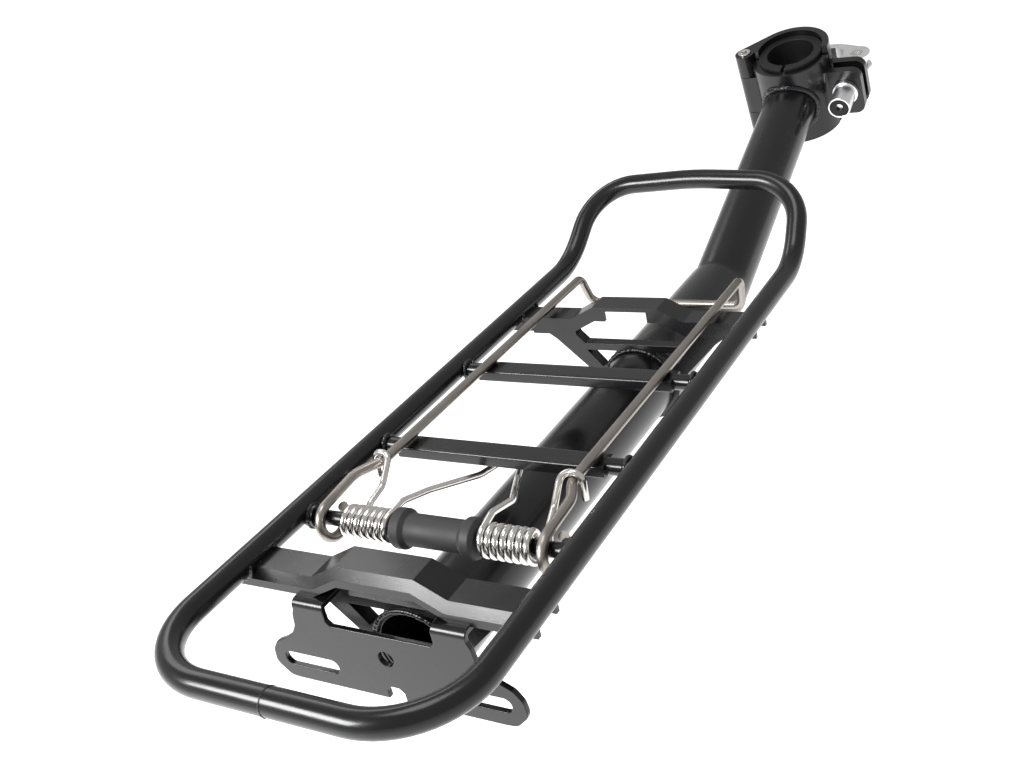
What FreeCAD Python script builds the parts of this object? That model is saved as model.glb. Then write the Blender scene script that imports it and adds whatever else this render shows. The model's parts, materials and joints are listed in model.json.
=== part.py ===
"""Seatpost rear rack for a bicycle, modelled in millimetres.

+X points forward to the seatpost, +Y to the rider's left and +Z up.  The
origin is the centre of the seatpost clamp.  The platform lies level behind
it, carried by a beam; the clamp leans back with the seat tube.
"""
import FreeCAD, Part
import math
import os
import Sketcher

App = FreeCAD
V = App.Vector
doc = App.newDocument("rear_rack")
X_AXIS, Y_AXIS, Z_AXIS = V(1, 0, 0), V(0, 1, 0), V(0, 0, 1)

# --------------------------------------------------------------------------
# Driving dimensions
# --------------------------------------------------------------------------
SIZES = {
    # seatpost clamp, in its own upright frame
    "seatpost_d": 31.8, "liner_wall": 4.2, "liner_lip": 1.6, "liner_lip_t": 2.5, "liner_slit": 2.0,
    "clamp_wall": 6.4, "clamp_len": 60.0, "clamp_lean": 17.0, "split_back": 2.5, "split_gap": 1.5,
    "arm_rise": 6.0, "arm_gap": 0.3,
    # hinge of the clamp arm
    "hinge_reach": 5.0, "knuckle_r": 6.5, "knuckle_half": 14.0, "knuckle_gap": 0.4,
    "bolt_d": 5.0, "bolt_head_d": 8.5, "bolt_head_t": 5.0, "hex_key": 4.0, "pin_gap": 0.08,
    "washer_t": 1.0, "washer_d": 10.0, "nut_af": 8.0, "nut_t": 5.0,
    # quick release through the two ears
    "skewer_d": 5.0, "ear_reach": 10.5, "ear_end": 11.0, "ear_t": 5.5, "ear_gap": 7.0,
    "ear_half": 16.5, "ear_shift": 1.5, "ear_corner": 6.5, "ear_root": 3.0, "skewer_play": 1.6,
    "seat_t": 4.0, "seat_d": 17.2, "barrel_len": 17.0, "barrel_d": 15.0, "barrel_wall": 1.2,
    "insert_depth": 6.0, "cam_r": 9.0, "cam_washer_t": 8.0, "cam_washer_d": 17.0, "cam_gap": 0.3,
    "cam_pin_d": 8.0, "lever_h": 14.0, "fork_gap": 8.6, "skewer_eye_t": 8.0, "skewer_eye_d": 12.5,
    # beam and stem
    "beam_d": 38.1, "beam_wall": 1.5, "slip_fit": 0.05, "stem_wall": 1.8, "spigot": 45.0,
    "stem_rise": 21.0, "stem_bend_r": 35.0, "stem_run": 183.75, "stem_low": 1.7,
    "beam_tail": 76.0, "platform_up": 40.2,
    # platform loop
    "rack_back": 608.0, "rail_d": 11.0, "rail_span": 135.2, "corner_r": 35.0,
    "hoop_start": 368.0, "hoop_bend_r": 45.0, "hoop_reach": 38.6, "hoop_up": 33.2,
    "hoop_in": 4.4, "hoop_corner_r": 30.0, "crown_up": 2.8, "crown_out": 1.9, "crown_r": 200.0,
    # crossbars
    "rear_bar_x": 162.4, "front_bar_x": 236.6, "bar_w": 11.6, "bar_t": 5.6, "bar_edge": 0.9,
    "bar_drop": 1.5, "neck_len": 9.6, "neck_d": 7.6,
    # stamped brackets
    "rear_bracket_x": 62.0, "front_bracket_x": 313.2, "bracket_w": 16.6, "band_t": 8.0,
    "wing_drop": 0.8, "hat_rise": 7.0, "hat_half": 18.5, "ramp_end": 32.2, "bracket_over": 2.4,
    "bevel_x": 2.7, "bevel_z": 4.2, "sheet": 2.2, "window_half": 12.1,
    # trusses between brackets and beam
    "rear_truss_x": 75.5, "front_truss_x": 301.0, "truss_t": 6.5, "collar_t": 3.2,
    "tie_drop": 8.5, "tie_t": 4.0, "tie_half": 29.0, "foot_t": 3.6, "foot_half": 60.0,
    "foot_in": 33.5, "arm_out": 46.0, "arm_low": 14.0,
    # reflector plate
    "plate_x": 57.7, "plate_t": 2.5, "plate_drop": 41.2, "plate_half": 43.1, "tab_in": 25.5,
    "tab_out": 41.0, "tab_len": 13.5, "tab_bend_r": 3.2, "cutout_drop": 9.7, "cutout_r": 4.0,
    "ear_half_y": 60.5, "ear_round": 5.0, "slot_w": 6.6, "slot_c": 40.3, "slot_len": 27.6,
    "slot_up": 10.0, "hole_d": 7.0, "hole_up": 20.5, "hook_w": 8.0, "hook_up": 6.1,
    # spring trap
    "rod_x": 105.0, "rod_drop": 3.0, "rod_d": 6.5, "boss_d": 10.4, "boss_len": 4.6,
    "bow_wire": 4.5, "eye_r": 7.25, "eye_drop": 1.4, "eye_left": 54.6, "eye_right": 53.0,
    "tail_step": 4.5, "tail_turn": 300.0, "bow_y": 47.4, "bow_up": 4.7, "jog_x": 140.0,
    "bow_tip_x": 341.0, "bow_tip_up": 3.1, "bow_hook": 4.5, "bow_cross_drop": 13.8,
    "coil_wire": 3.0, "coil_r": 5.95, "coil_in": 22.7, "coil_turns": 6.5, "coil_pitch": 3.5,
    "trap_shift": -2.3, "hook_reach": 4.5,
    "sleeve_half": 20.5, "sleeve_d": 13.8, "collar_d": 17.2, "collar_w": 5.5, "sleeve_gap": 0.15,
}
sheet = doc.addObject("Spreadsheet::Sheet", "Sizes")
for row, (alias, number) in enumerate(SIZES.items(), start=1):
    sheet.set("A%d" % row, alias)
    sheet.set("B%d" % row, str(number))
    sheet.setAlias("B%d" % row, alias)
doc.recompute()


def size(text):
    """Write sheet names in a formula as Sizes.name."""
    out, word = "", ""
    for letter in text + " ":
        if letter.isalnum() or letter == "_":
            word += letter
            continue
        out += ("Sizes." + word if word in SIZES else word) + letter
        word = ""
    return out.strip()


def value(text):
    """The number that a formula on the sheet gives now."""
    return float(sheet.evalExpression(size(text).replace("Sizes.", "")))


# Places that several pieces share, as formulas on the sheet
LINER_R = "(seatpost_d / 2 + liner_wall)"
CLAMP_R = "(%s + clamp_wall)" % LINER_R
HINGE_Y = "(%s + hinge_reach)" % CLAMP_R
EAR_Y = "(%s + ear_reach)" % CLAMP_R
REAR_EAR_X = "(-split_back - ear_gap / 2 - ear_t)"
ARM_EAR_X = "(-split_back + ear_gap / 2)"
CAM_X = "(%s + ear_t + cam_washer_t + cam_gap + cam_r)" % ARM_EAR_X
STEM_D = "(beam_d - 2 * beam_wall - 2 * slip_fit)"
BEAM_Z = "(-stem_low - stem_run * tan(stem_rise * 1deg))"
BEAM_FRONT = "(-stem_run - stem_bend_r * tan(stem_rise / 2 * 1deg))"
RAIL_Z = "(%s + platform_up)" % BEAM_Z
BEAM_REAR = "(-rack_back + beam_tail)"
RAIL_Y = "(rail_span / 2)"
HOOP_Y = "(%s - hoop_in)" % RAIL_Y
BAR_HALF = "(%s - rail_d / 2 - neck_len)" % RAIL_Y
WING_Z = "(%s - wing_drop)" % RAIL_Z
FOOT_Z = "(%s - band_t)" % WING_Z
ROD_Z = "(%s - rod_drop)" % RAIL_Z
PIVOT_X = "(-rack_back + rod_x)"


# --------------------------------------------------------------------------
# Small helpers for the document
# --------------------------------------------------------------------------
PIECES = []


def bind(item, **formulas):
    """Tie properties of an object to formulas on the sheet."""
    for name, text in formulas.items():
        item.setExpression(name, size(text))
    return item


def place(item, at=("0", "0", "0"), leaning=False):
    """Tie an object's place to the sheet; clamp pieces lean with the seat tube."""
    if leaning:
        item.Placement = App.Placement(V(), App.Rotation(Y_AXIS, -1))
        item.setExpression("Placement.Rotation.Angle", size("-clamp_lean"))
    for axis, text in zip("xyz", at):
        if text != "0":
            item.setExpression("Placement.Base." + axis, size(text))
    return item


def keep(item, label):
    """Name a finished piece."""
    item.Label = label
    PIECES.append(item)
    return item


def cylinder(name, radius, length, at, along=Z_AXIS):
    item = doc.addObject("Part::Cylinder", name)
    item.Placement = App.Placement(V(), App.Rotation(Z_AXIS, along))
    return place(bind(item, Radius=radius, Height=length), at)


def box(name, length, width, height, at):
    item = doc.addObject("Part::Box", name)
    return place(bind(item, Length=length, Width=width, Height=height), at)


def fuse(name, *items):
    item = doc.addObject("Part::MultiFuse", name)
    item.Shapes = list(items)
    return item


def cut(name, base, *tools):
    item = doc.addObject("Part::Cut", name)
    item.Base = base
    item.Tool = tools[0] if len(tools) == 1 else fuse(name + "_tools", *tools)
    return item


def make_body(name):
    return doc.addObject("PartDesign::Body", name)


def sketch_on(body, name, role, offset=None):
    """A sketch on one of the body's own origin planes, moved along its normal."""
    plane = [item for item in body.Origin.OriginFeatures if item.Role == role][0]
    sketch = body.newObject("Sketcher::SketchObject", name)
    sketch.AttachmentSupport = [(plane, "")]
    sketch.MapMode = "FlatFace"
    if offset:
        sketch.setExpression("AttachmentOffset.Base.z", size(offset))
    return sketch


def fix_point(sketch, geometry, end, corner):
    """Hold one point of a sketch at two formulas."""
    for kind, text in zip(("DistanceX", "DistanceY"), corner):
        rule = Sketcher.Constraint(kind, -1, 1, geometry, end, value(text))
        index = sketch.addConstraint(rule)
        sketch.setExpression("Constraints[%d]" % index, size(text))


def polygon(sketch, corners):
    """A closed outline of straight lines, each corner tied to the sheet."""
    points = [V(value(x), value(y), 0) for x, y in corners]
    count = len(points)
    first = sketch.GeometryCount
    for i in range(count):
        sketch.addGeometry(Part.LineSegment(points[i], points[(i + 1) % count]), False)
    for i in range(count):
        sketch.addConstraint(Sketcher.Constraint("Coincident", first + i, 2, first + (i + 1) % count, 1))
    for i in range(count):
        fix_point(sketch, first + i, 1, corners[i])


def circle(sketch, centre, radius):
    """A circle with its centre and radius tied to the sheet."""
    where = V(value(centre[0]), value(centre[1]), 0)
    index = sketch.addGeometry(Part.Circle(where, Z_AXIS, value(radius)), False)
    fix_point(sketch, index, 3, centre)
    rule = sketch.addConstraint(Sketcher.Constraint("Radius", index, value(radius)))
    sketch.setExpression("Constraints[%d]" % rule, size(radius))


def slot(sketch, centre, length, width):
    """A level slot with round ends."""
    half = "(%s - %s) / 2" % (length, width)
    radius = "%s / 2" % width
    left, right = "%s - %s" % (centre[0], half), "%s + %s" % (centre[0], half)
    low, high = "%s - %s" % (centre[1], radius), "%s + %s" % (centre[1], radius)
    r = value(radius)
    a, b = V(value(left), value(centre[1]), 0), V(value(right), value(centre[1]), 0)
    up = V(0, r, 0)
    first = sketch.GeometryCount
    sketch.addGeometry(Part.LineSegment(a - up, b - up), False)
    sketch.addGeometry(Part.ArcOfCircle(Part.Circle(b, Z_AXIS, r), -math.pi / 2, math.pi / 2), False)
    sketch.addGeometry(Part.LineSegment(b + up, a + up), False)
    sketch.addGeometry(Part.ArcOfCircle(Part.Circle(a, Z_AXIS, r), math.pi / 2, 1.5 * math.pi), False)
    joins = ((0, 2, 1, 1), (1, 2, 2, 1), (2, 2, 3, 1), (3, 2, 0, 1))
    for one, end, other, start in joins:
        rule = Sketcher.Constraint("Coincident", first + one, end, first + other, start)
        sketch.addConstraint(rule)
    fix_point(sketch, first, 1, (left, low))
    fix_point(sketch, first, 2, (right, low))
    fix_point(sketch, first + 2, 1, (right, high))
    fix_point(sketch, first + 2, 2, (left, high))
    for arc, across in ((1, right), (3, left)):
        rule = Sketcher.Constraint("DistanceX", -1, 1, first + arc, 3, value(across))
        index = sketch.addConstraint(rule)
        sketch.setExpression("Constraints[%d]" % index, size(across))


def pad(body, name, sketch, length, midplane=False, reverse=False):
    item = body.newObject("PartDesign::Pad", name)
    item.Profile = sketch
    item.Midplane = midplane
    item.Reversed = reverse
    return bind(item, Length=length)


def pocket(body, name, sketch, midplane=False, reverse=False, length=None):
    """A cut through everything, or to a depth; it must remove material."""
    doc.recompute()
    before = body.Shape.Volume
    item = body.newObject("PartDesign::Pocket", name)
    item.Profile = sketch
    item.Midplane = midplane
    item.Reversed = reverse
    if length:
        bind(item, Length=length)
    else:
        item.Type = 1
    doc.recompute()
    if item.Shape.Volume >= before - 0.01:
        raise RuntimeError(name + " removes nothing")
    return item


def edges_where(shape, test):
    """Names of the edges whose two ends both pass a test."""
    names = []
    for index, edge in enumerate(shape.Edges, start=1):
        ends = [vertex.Point for vertex in edge.Vertexes]
        if len(ends) == 2 and all(test(point) for point in ends):
            names.append("Edge%d" % index)
    return names


def dress(body, kind, name, base, names, **formulas):
    """A fillet or a chamfer on named edges of the body's last feature."""
    item = body.newObject("PartDesign::" + kind, name)
    item.Base = (base, names)
    return bind(item, **formulas)


def bent_path(points, radii):
    """Edges of a route with straight runs and tangent bends."""
    edges = []
    here = points[0]
    for i in range(1, len(points) - 1):
        before = (points[i - 1] - points[i]).normalize()
        after = (points[i + 1] - points[i]).normalize()
        half = before.getAngle(after) / 2
        trim = radii[i - 1] / math.tan(half)
        start, end = points[i] + before * trim, points[i] + after * trim
        inward = (before + after).normalize()
        centre = points[i] + inward * (radii[i - 1] / math.sin(half))
        middle = centre - inward * radii[i - 1]
        if (start - here).Length > 1e-6:
            edges.append(Part.LineSegment(here, start).toShape())
        edges.append(Part.Arc(start, middle, end).toShape())
        here = end
    edges.append(Part.LineSegment(here, points[-1]).toShape())
    return edges


def sweep_wire(edges, radius):
    """A round wire swept along joined edges."""
    wire = Part.Wire(edges)
    first = edges[0]
    start = first.valueAt(first.FirstParameter)
    tangent = first.tangentAt(first.FirstParameter)
    profile = Part.Wire([Part.makeCircle(radius, start, tangent)])
    solid = wire.makePipeShell([profile], True, False)
    return solid if solid.ShapeType == "Solid" else Part.Solid(solid)


def half_of(rod, side):
    """The part of a shape on one side of the middle plane."""
    far = value("rack_back + rail_span")
    start = V(-2 * far, 0 if side > 0 else -far, -2 * far)
    return rod.common(Part.makeBox(4 * far, far, 4 * far, start))


def both_sides(half):
    """One piece from a half that stops at the middle plane."""
    return half.fuse(half.mirror(V(), Y_AXIS)).removeSplitter()


def solid_of(shape):
    """The single solid inside a boolean result."""
    solids = shape.Solids
    if len(solids) != 1:
        raise RuntimeError("expected one solid, found %d" % len(solids))
    return solids[0]


def feature(name, shape):
    item = doc.addObject("Part::Feature", name)
    item.Shape = shape
    item.Placement = App.Placement()
    return item


# --------------------------------------------------------------------------
# Beam and stem
# --------------------------------------------------------------------------
def make_beam():
    """Straight lower tube that carries the platform."""
    body = make_body("beam")
    ring = sketch_on(body, "beam_ring", "YZ_Plane")
    circle(ring, ("0", "0"), "beam_d / 2")
    circle(ring, ("0", "0"), "beam_d / 2 - beam_wall")
    pad(body, "beam_tube", ring, "%s - %s" % (BEAM_FRONT, BEAM_REAR))
    place(body, (BEAM_REAR, "0", BEAM_Z))
    return keep(body, "lower_beam")


def make_stem():
    """Bent tube that plugs into the beam and is coped to the clamp."""
    body = make_body("stem")
    path = sketch_on(body, "stem_path", "XZ_Plane")
    start = ("%s - spigot" % BEAM_FRONT, BEAM_Z)
    bend_in = (BEAM_FRONT, BEAM_Z)
    bend_out = ("-stem_run + stem_bend_r * tan(stem_rise / 2 * 1deg) * cos(stem_rise * 1deg)",
                "%s + stem_bend_r * tan(stem_rise / 2 * 1deg) * sin(stem_rise * 1deg)" % BEAM_Z)
    inside = "%s * 0.6" % CLAMP_R
    end = ("-%s" % inside, "-stem_low - %s * tan(stem_rise * 1deg)" % inside)
    centre = (BEAM_FRONT, "%s + stem_bend_r" % BEAM_Z)
    points = [V(value(x), value(z), 0) for x, z in (start, bend_in, bend_out, end)]
    path.addGeometry(Part.LineSegment(points[0], points[1]), False)
    bend = Part.Circle(V(value(centre[0]), value(centre[1]), 0), Z_AXIS, value("stem_bend_r"))
    rise = math.radians(value("stem_rise"))
    path.addGeometry(Part.ArcOfCircle(bend, -math.pi / 2, -math.pi / 2 + rise), False)
    path.addGeometry(Part.LineSegment(points[2], points[3]), False)
    path.addConstraint(Sketcher.Constraint("Coincident", 0, 2, 1, 1))
    path.addConstraint(Sketcher.Constraint("Coincident", 1, 2, 2, 1))
    fix_point(path, 0, 1, start)
    fix_point(path, 0, 2, bend_in)
    fix_point(path, 2, 1, bend_out)
    fix_point(path, 2, 2, end)
    rule = path.addConstraint(Sketcher.Constraint("Radius", 1, value("stem_bend_r")))
    path.setExpression("Constraints[%d]" % rule, size("stem_bend_r"))
    ring = sketch_on(body, "stem_ring", "YZ_Plane", start[0])
    circle(ring, ("0", BEAM_Z), STEM_D + " / 2")
    circle(ring, ("0", BEAM_Z), STEM_D + " / 2 - stem_wall")
    doc.recompute()
    tube = body.newObject("PartDesign::AdditivePipe", "stem_tube")
    tube.Profile = ring
    tube.Spine = (path, ["Edge1", "Edge2", "Edge3"])
    doc.recompute()
    cope = sketch_on(body, "cope_outline", "XZ_Plane")
    lean_cos, lean_sin = "cos(clamp_lean * 1deg)", "sin(clamp_lean * 1deg)"
    side = "%s" % CLAMP_R
    half = "clamp_len"
    corners = (("%s * %s" % (half, lean_sin), "-%s * %s" % (half, lean_cos)),
               ("-%s * %s" % (half, lean_sin), "%s * %s" % (half, lean_cos)),
               ("-%s * %s - %s * %s" % (half, lean_sin, side, lean_cos),
                "%s * %s - %s * %s" % (half, lean_cos, side, lean_sin)),
               ("%s * %s - %s * %s" % (half, lean_sin, side, lean_cos),
                "-%s * %s - %s * %s" % (half, lean_cos, side, lean_sin)))
    polygon(cope, corners)
    doc.recompute()
    before = body.Shape.Volume
    groove = body.newObject("PartDesign::Groove", "cope")
    groove.Profile = cope
    groove.ReferenceAxis = (cope, ["Edge1"])
    groove.Angle = 360
    doc.recompute()
    if groove.Shape.Volume >= before:
        raise RuntimeError("the cope removes nothing")
    return keep(body, "upper_stem")


# --------------------------------------------------------------------------
# Seatpost clamp, upright in its own frame and then leaned back
# --------------------------------------------------------------------------
def make_casting(name, height, ear_x, web, web_low, web_height):
    """Clamp wall with an ear on the right and a web to the hinge on the left, edges blended."""
    body = make_body(name)
    ring = sketch_on(body, name + "_ring", "XY_Plane", "-clamp_len / 2")
    circle(ring, ("0", "0"), CLAMP_R)
    pad(body, name + "_wall", ring, height)
    ear = sketch_on(body, name + "_ear_outline", "XY_Plane", "-ear_half - ear_shift")
    end, root = "-%s - ear_end" % EAR_Y, "-%s * 0.8" % CLAMP_R
    polygon(ear, ((ear_x, end), ("%s + ear_t" % ear_x, end), ("%s + ear_t" % ear_x, root), (ear_x, root)))
    raw = pad(body, name + "_ear", ear, "2 * ear_half")
    doc.recompute()
    tip, wall = value(end), value(CLAMP_R)
    corners = [edge for edge in edges_where(raw.Shape, lambda point: abs(point.y - tip) < 1e-3)
               if abs(raw.Shape.getElement(edge).tangentAt(0).x) > 0.99]
    rounded = dress(body, "Fillet", name + "_ear_corners", raw, corners, Radius="ear_corner")
    doc.recompute()

    def on_wall(point):
        return abs(math.hypot(point.x, point.y) - wall) < 1e-3 and point.y < 0

    roots = [edge for edge in edges_where(rounded.Shape, on_wall)
             if abs(rounded.Shape.getElement(edge).tangentAt(0).z) > 0.99
             and abs(rounded.Shape.getElement(edge).CenterOfMass.z) < value("ear_half")]
    dress(body, "Fillet", name + "_ear_root", rounded, roots, Radius="ear_root")
    link = sketch_on(body, name + "_web_outline", "XY_Plane", web_low)
    polygon(link, web)
    pad(body, name + "_web", link, web_height)
    return body


def make_clamp_body():
    """Rear half of the clamp with its middle knuckle and rear ear."""
    web = (("-split_back - knuckle_r", HINGE_Y), ("-split_back - knuckle_r", "%s * 0.8" % LINER_R),
           ("0", "%s * 0.8" % LINER_R), ("0", HINGE_Y))
    solid = make_casting("back", "clamp_len - arm_rise", REAR_EAR_X, web, "-knuckle_half",
                         "2 * knuckle_half")
    front = box("back_front_cut", "2 * %s" % CLAMP_R, "6 * %s" % CLAMP_R, "2 * clamp_len",
                ("-split_back - split_gap / 2", "-3 * %s" % CLAMP_R, "-clamp_len"))
    halves = cut("back_half", solid, front)
    knuckle = cylinder("back_knuckle", "knuckle_r", "2 * knuckle_half",
                       ("-split_back", HINGE_Y, "-knuckle_half"))
    bore = cylinder("back_bore", LINER_R, "2 * clamp_len", ("0", "0", "-clamp_len"))
    pin = cylinder("back_pin_hole", "bolt_d / 2 + pin_gap", "2 * clamp_len",
                   ("-split_back", HINGE_Y, "-clamp_len"))
    hole = cylinder("back_skewer_hole", "skewer_d / 2 + skewer_play", "4 * ear_t",
                    ("%s - ear_t" % REAR_EAR_X, "-" + EAR_Y, "0"), X_AXIS)
    room_top = cylinder("back_room_top", "knuckle_r + arm_gap", "clamp_len",
                        ("-split_back", HINGE_Y, "knuckle_half"))
    room_low = cylinder("back_room_low", "knuckle_r + arm_gap", "clamp_len",
                        ("-split_back", HINGE_Y, "-knuckle_half - clamp_len"))
    done = cut("clamp_back", fuse("back_with_knuckle", halves, knuckle), bore, pin, hole,
               room_top, room_low)
    return keep(place(done, leaning=True), "clamp_body")


def make_clamp_arm():
    """Front half: the arm that swings on the hinge bolt."""
    low = "-clamp_len / 2"
    web = (("-split_back", HINGE_Y), ("-split_back", "%s * 0.5" % LINER_R),
           ("%s * 0.722" % LINER_R, "%s * 0.5" % LINER_R),
           ("%s * 0.722" % CLAMP_R, "%s * 0.692" % CLAMP_R),
           ("-split_back + knuckle_r * 0.722", "%s + knuckle_r * 0.692" % HINGE_Y))
    solid = make_casting("arm", "clamp_len", ARM_EAR_X, web, low, "clamp_len")
    back = box("arm_back_cut", "2 * %s" % CLAMP_R, "6 * %s" % CLAMP_R, "2 * clamp_len",
               ("-split_back + split_gap / 2 - 2 * %s" % CLAMP_R, "-3 * %s" % CLAMP_R, "-clamp_len"))
    halves = cut("arm_half", solid, back)
    top = cylinder("arm_knuckle_top", "knuckle_r", "clamp_len / 2 - knuckle_half",
                   ("-split_back", HINGE_Y, "knuckle_half"))
    bottom = cylinder("arm_knuckle_low", "knuckle_r", "clamp_len / 2 - knuckle_half",
                      ("-split_back", HINGE_Y, low))
    bore = cylinder("arm_bore", "%s + arm_gap" % LINER_R, "2 * clamp_len", ("0", "0", "-clamp_len"))
    lip = cylinder("arm_lip_room", "%s + liner_lip + arm_gap" % LINER_R, "clamp_len",
                   ("0", "0", "clamp_len / 2 - arm_rise - arm_gap"))
    pin = cylinder("arm_pin_hole", "bolt_d / 2 + pin_gap", "2 * clamp_len",
                   ("-split_back", HINGE_Y, "-clamp_len"))
    hole = cylinder("arm_skewer_hole", "skewer_d / 2 + pin_gap", "4 * ear_t",
                    ("%s - ear_t" % ARM_EAR_X, "-" + EAR_Y, "0"), X_AXIS)
    room = cylinder("arm_room", "knuckle_r + arm_gap", "2 * knuckle_half + 2 * knuckle_gap",
                    ("-split_back", HINGE_Y, "-knuckle_half - knuckle_gap"))
    head = cylinder("arm_head_room", "bolt_head_d / 2 + arm_gap", "clamp_len",
                    ("-split_back", HINGE_Y, "clamp_len / 2 - bolt_head_t + 1"))
    nut = cylinder("arm_nut_room", "washer_d / 2 + arm_gap", "clamp_len",
                   ("-split_back", HINGE_Y, "-1.5 * clamp_len + nut_t + washer_t"))
    done = cut("clamp_front", fuse("arm_with_knuckles", halves, top, bottom), bore, lip, pin, hole,
               room, head, nut)
    return keep(place(done, leaning=True), "clamp_arm")


def make_liner():
    """Plastic split bush between the clamp and the seatpost, with a lip on top."""
    shoulder = "clamp_len / 2 - arm_rise"
    tube = cylinder("liner_tube", LINER_R, "clamp_len - arm_rise", ("0", "0", "-clamp_len / 2"))
    lip = cylinder("liner_lip_disc", "%s + liner_lip" % LINER_R, "liner_lip_t", ("0", "0", shoulder))
    bore = cylinder("liner_bore", "seatpost_d / 2", "2 * clamp_len", ("0", "0", "-clamp_len"))
    slit = box("liner_slit_cut", "2 * %s" % CLAMP_R, "liner_slit", "2 * clamp_len",
               ("-2 * %s" % CLAMP_R, "-liner_slit / 2", "-clamp_len"))
    done = cut("liner", fuse("liner_solid", tube, lip), bore, slit)
    return keep(place(done, leaning=True), "clamp_liner")


def make_hinge_bolt():
    """Socket-head bolt through the three knuckles."""
    seat = "clamp_len / 2 - bolt_head_t + 1"
    low = "-clamp_len / 2 + 0.5"
    shank = cylinder("bolt_shank", "bolt_d / 2", "%s - (%s)" % (seat, low), ("-split_back", HINGE_Y, low))
    head = cylinder("bolt_head", "bolt_head_d / 2", "bolt_head_t", ("-split_back", HINGE_Y, seat))
    socket = doc.addObject("Part::Prism", "bolt_socket")
    bind(socket, Circumradius="hex_key / sqrt(3)", Height="bolt_head_t")
    place(socket, ("-split_back", HINGE_Y, "clamp_len / 2 - bolt_head_t / 2 + 1"))
    done = cut("bolt", fuse("bolt_solid", shank, head), socket)
    return keep(place(done, leaning=True), "hinge_bolt")


def make_hinge_nut():
    """Hexagon nut in the pocket under the bottom knuckle."""
    prism = doc.addObject("Part::Prism", "nut_hexagon")
    bind(prism, Circumradius="nut_af / sqrt(3)", Height="nut_t - 0.2")
    place(prism, ("-split_back", HINGE_Y, "-clamp_len / 2 + 0.2"))
    bore = cylinder("nut_bore", "bolt_d / 2", "clamp_len", ("-split_back", HINGE_Y, "-clamp_len"))
    done = cut("hinge_nut_part", prism, bore)
    return keep(place(done, leaning=True), "hinge_nut")


def make_hinge_washer():
    """Flat washer between the nut and the bottom knuckle."""
    disc = cylinder("washer_disc", "washer_d / 2", "washer_t",
                    ("-split_back", HINGE_Y, "-clamp_len / 2 + nut_t"))
    bore = cylinder("washer_bore", "bolt_d / 2 + pin_gap", "clamp_len",
                    ("-split_back", HINGE_Y, "-clamp_len"))
    done = cut("washer", disc, bore)
    return keep(place(done, leaning=True), "hinge_washer")


# --------------------------------------------------------------------------
# Quick release
# --------------------------------------------------------------------------
def make_skewer():
    """Threaded rod with a flat eye for the cam pin at its front end."""
    back = "%s - seat_t - barrel_len + insert_depth / 2" % REAR_EAR_X
    rod = cylinder("skewer_rod", "skewer_d / 2", "%s - (%s)" % (CAM_X, back),
                   (back, "-" + EAR_Y, "0"), X_AXIS)
    eye = cylinder("skewer_eye", "skewer_eye_d / 2", "skewer_eye_t",
                   (CAM_X, "-" + EAR_Y, "-skewer_eye_t / 2"))
    hole = cylinder("skewer_eye_hole", "cam_pin_d / 2 + pin_gap", "4 * skewer_eye_t",
                    (CAM_X, "-" + EAR_Y, "-2 * skewer_eye_t"))
    done = cut("skewer", fuse("skewer_solid", rod, eye), hole)
    return keep(place(done, leaning=True), "qr_skewer")


def make_cam_washer():
    """Plastic saddle between the arm's ear and the cam."""
    disc = cylinder("saddle_disc", "cam_washer_d / 2", "cam_washer_t",
                    ("%s + ear_t" % ARM_EAR_X, "-" + EAR_Y, "0"), X_AXIS)
    hollow = cylinder("saddle_hollow", "cam_r + cam_gap", "2 * cam_washer_d",
                      (CAM_X, "-" + EAR_Y, "-cam_washer_d"))
    hole = cylinder("saddle_hole", "skewer_d / 2 + pin_gap", "4 * cam_washer_t",
                    ("%s - cam_washer_t" % ARM_EAR_X, "-" + EAR_Y, "0"), X_AXIS)
    done = cut("saddle", disc, hollow, hole)
    return keep(place(done, leaning=True), "qr_cam_washer")


def make_lever():
    """Forged cam lever: a round fork on the pin and a curved blade."""
    body = make_body("lever")
    outline = sketch_on(body, "lever_outline", "XY_Plane")
    pivot = (CAM_X, "-" + EAR_Y)

    def at(forward, left):
        return ("%s + %s" % (CAM_X, forward), "-%s + %s" % (EAR_Y, left))

    reach = (at("-4.5", "7.8"), at("0", "-1"), at("9", "0"), at("13", "10"), at("14.8", "17"),
             at("14.5", "28"), at("13.5", "44"), at("10.5", "54"), at("6", "53"), at("8", "43"),
             at("9", "28"), at("9.5", "17"), at("6", "10.5"))
    polygon(outline, reach)
    pad(body, "lever_blade", outline, "lever_h", midplane=True)
    disc = sketch_on(body, "lever_disc", "XY_Plane")
    circle(disc, pivot, "cam_r")
    pad(body, "lever_cam", disc, "lever_h", midplane=True)
    gap = sketch_on(body, "lever_gap", "XY_Plane")
    circle(gap, pivot, "skewer_eye_d / 2 + cam_gap")
    pocket(body, "lever_fork", gap, midplane=True, length="fork_gap")
    sweep = sketch_on(body, "lever_sweep", "XY_Plane")
    rod_half = "skewer_d / 2 + 0.6"
    polygon(sweep, (at("-2 * cam_r", "-2 * cam_r"), at("2 * cam_r", "-2 * cam_r"),
                    at("2 * cam_r", "-0.4 * cam_r"), at("0.4 * (%s)" % rod_half, rod_half),
                    at("-2 * cam_r", rod_half)))
    pocket(body, "lever_rod_room", sweep, midplane=True, length="skewer_d + 1.4")
    bore = sketch_on(body, "lever_bore", "XY_Plane")
    circle(bore, pivot, "cam_pin_d / 2 + pin_gap")
    pocket(body, "lever_pin_hole", bore, midplane=True, length="4 * lever_h")
    place(body, leaning=True)
    return keep(body, "qr_lever")


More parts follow.
